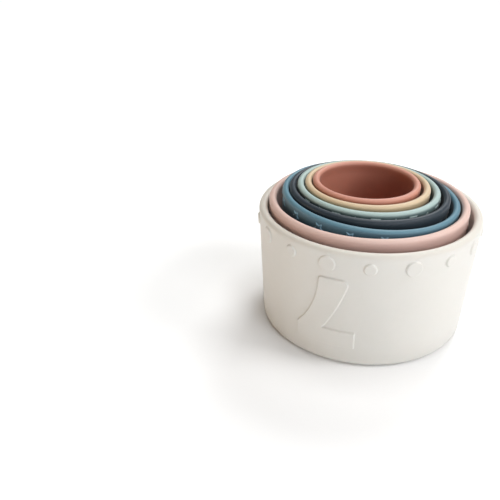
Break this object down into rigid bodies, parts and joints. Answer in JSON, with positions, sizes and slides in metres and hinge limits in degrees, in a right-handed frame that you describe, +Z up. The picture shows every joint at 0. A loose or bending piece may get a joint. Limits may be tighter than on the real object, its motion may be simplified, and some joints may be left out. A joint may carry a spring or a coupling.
{
  "type": "stacking cup set",
  "caption": "Nested set of round, slightly tapered soft cups with rounded rims; each lifts out of the next larger one, and they stack base up into a tower.",
  "frame": {"origin": "centre of the flat foot ring under the largest cup, on the surface that the set stands on", "axes": "+Z up, along the axis of the largest cup and out of its mouth; the raised numeral 7 faces -Y, turned about 16 degrees towards -X; +X to the right seen from the front"},
  "size_m": [0.0959, 0.0962, 0.065],
  "materials": {
    "silicone_cream": "satin",
    "silicone_pink": "satin",
    "silicone_blue": "satin",
    "silicone_charcoal": "satin",
    "silicone_sage": "satin",
    "silicone_sand": "satin",
    "silicone_coral": "satin"
  },
  "bodies": {
    "cup_7_cream": {"cup_7_cream": "silicone_cream"},
    "cup_6_pink": {"cup_6_pink": "silicone_pink"},
    "cup_5_blue": {"cup_5_blue": "silicone_blue"},
    "cup_4_charcoal": {"cup_4_charcoal": "silicone_charcoal"},
    "cup_3_sage": {"cup_3_sage": "silicone_sage"},
    "cup_2_sand": {"cup_2_sand": "silicone_sand"},
    "cup_1_coral": {"cup_1_coral": "silicone_coral"}
  },
  "joints": [
    {"name": "lift_cup_6_pink", "type": "slide", "parent": "cup_7_cream", "child": "cup_6_pink", "axis": [0, 0, 1], "range_m": [0, 0.062]},
    {"name": "lift_cup_5_blue", "type": "slide", "parent": "cup_6_pink", "child": "cup_5_blue", "axis": [0, 0, 1], "range_m": [0, 0.062]},
    {"name": "lift_cup_4_charcoal", "type": "slide", "parent": "cup_5_blue", "child": "cup_4_charcoal", "axis": [0.0523, 0, 0.9986], "range_m": [0, 0.062]},
    {"name": "lift_cup_3_sage", "type": "slide", "parent": "cup_4_charcoal", "child": "cup_3_sage", "axis": [0.0262, 0, 0.9997], "range_m": [0, 0.062]},
    {"name": "lift_cup_2_sand", "type": "slide", "parent": "cup_3_sage", "child": "cup_2_sand", "axis": [0.0262, 0, 0.9997], "range_m": [0, 0.062]},
    {"name": "lift_cup_1_coral", "type": "slide", "parent": "cup_2_sand", "child": "cup_1_coral", "axis": [0.014, 0, 0.9999], "range_m": [0, 0.062]}
  ]
}
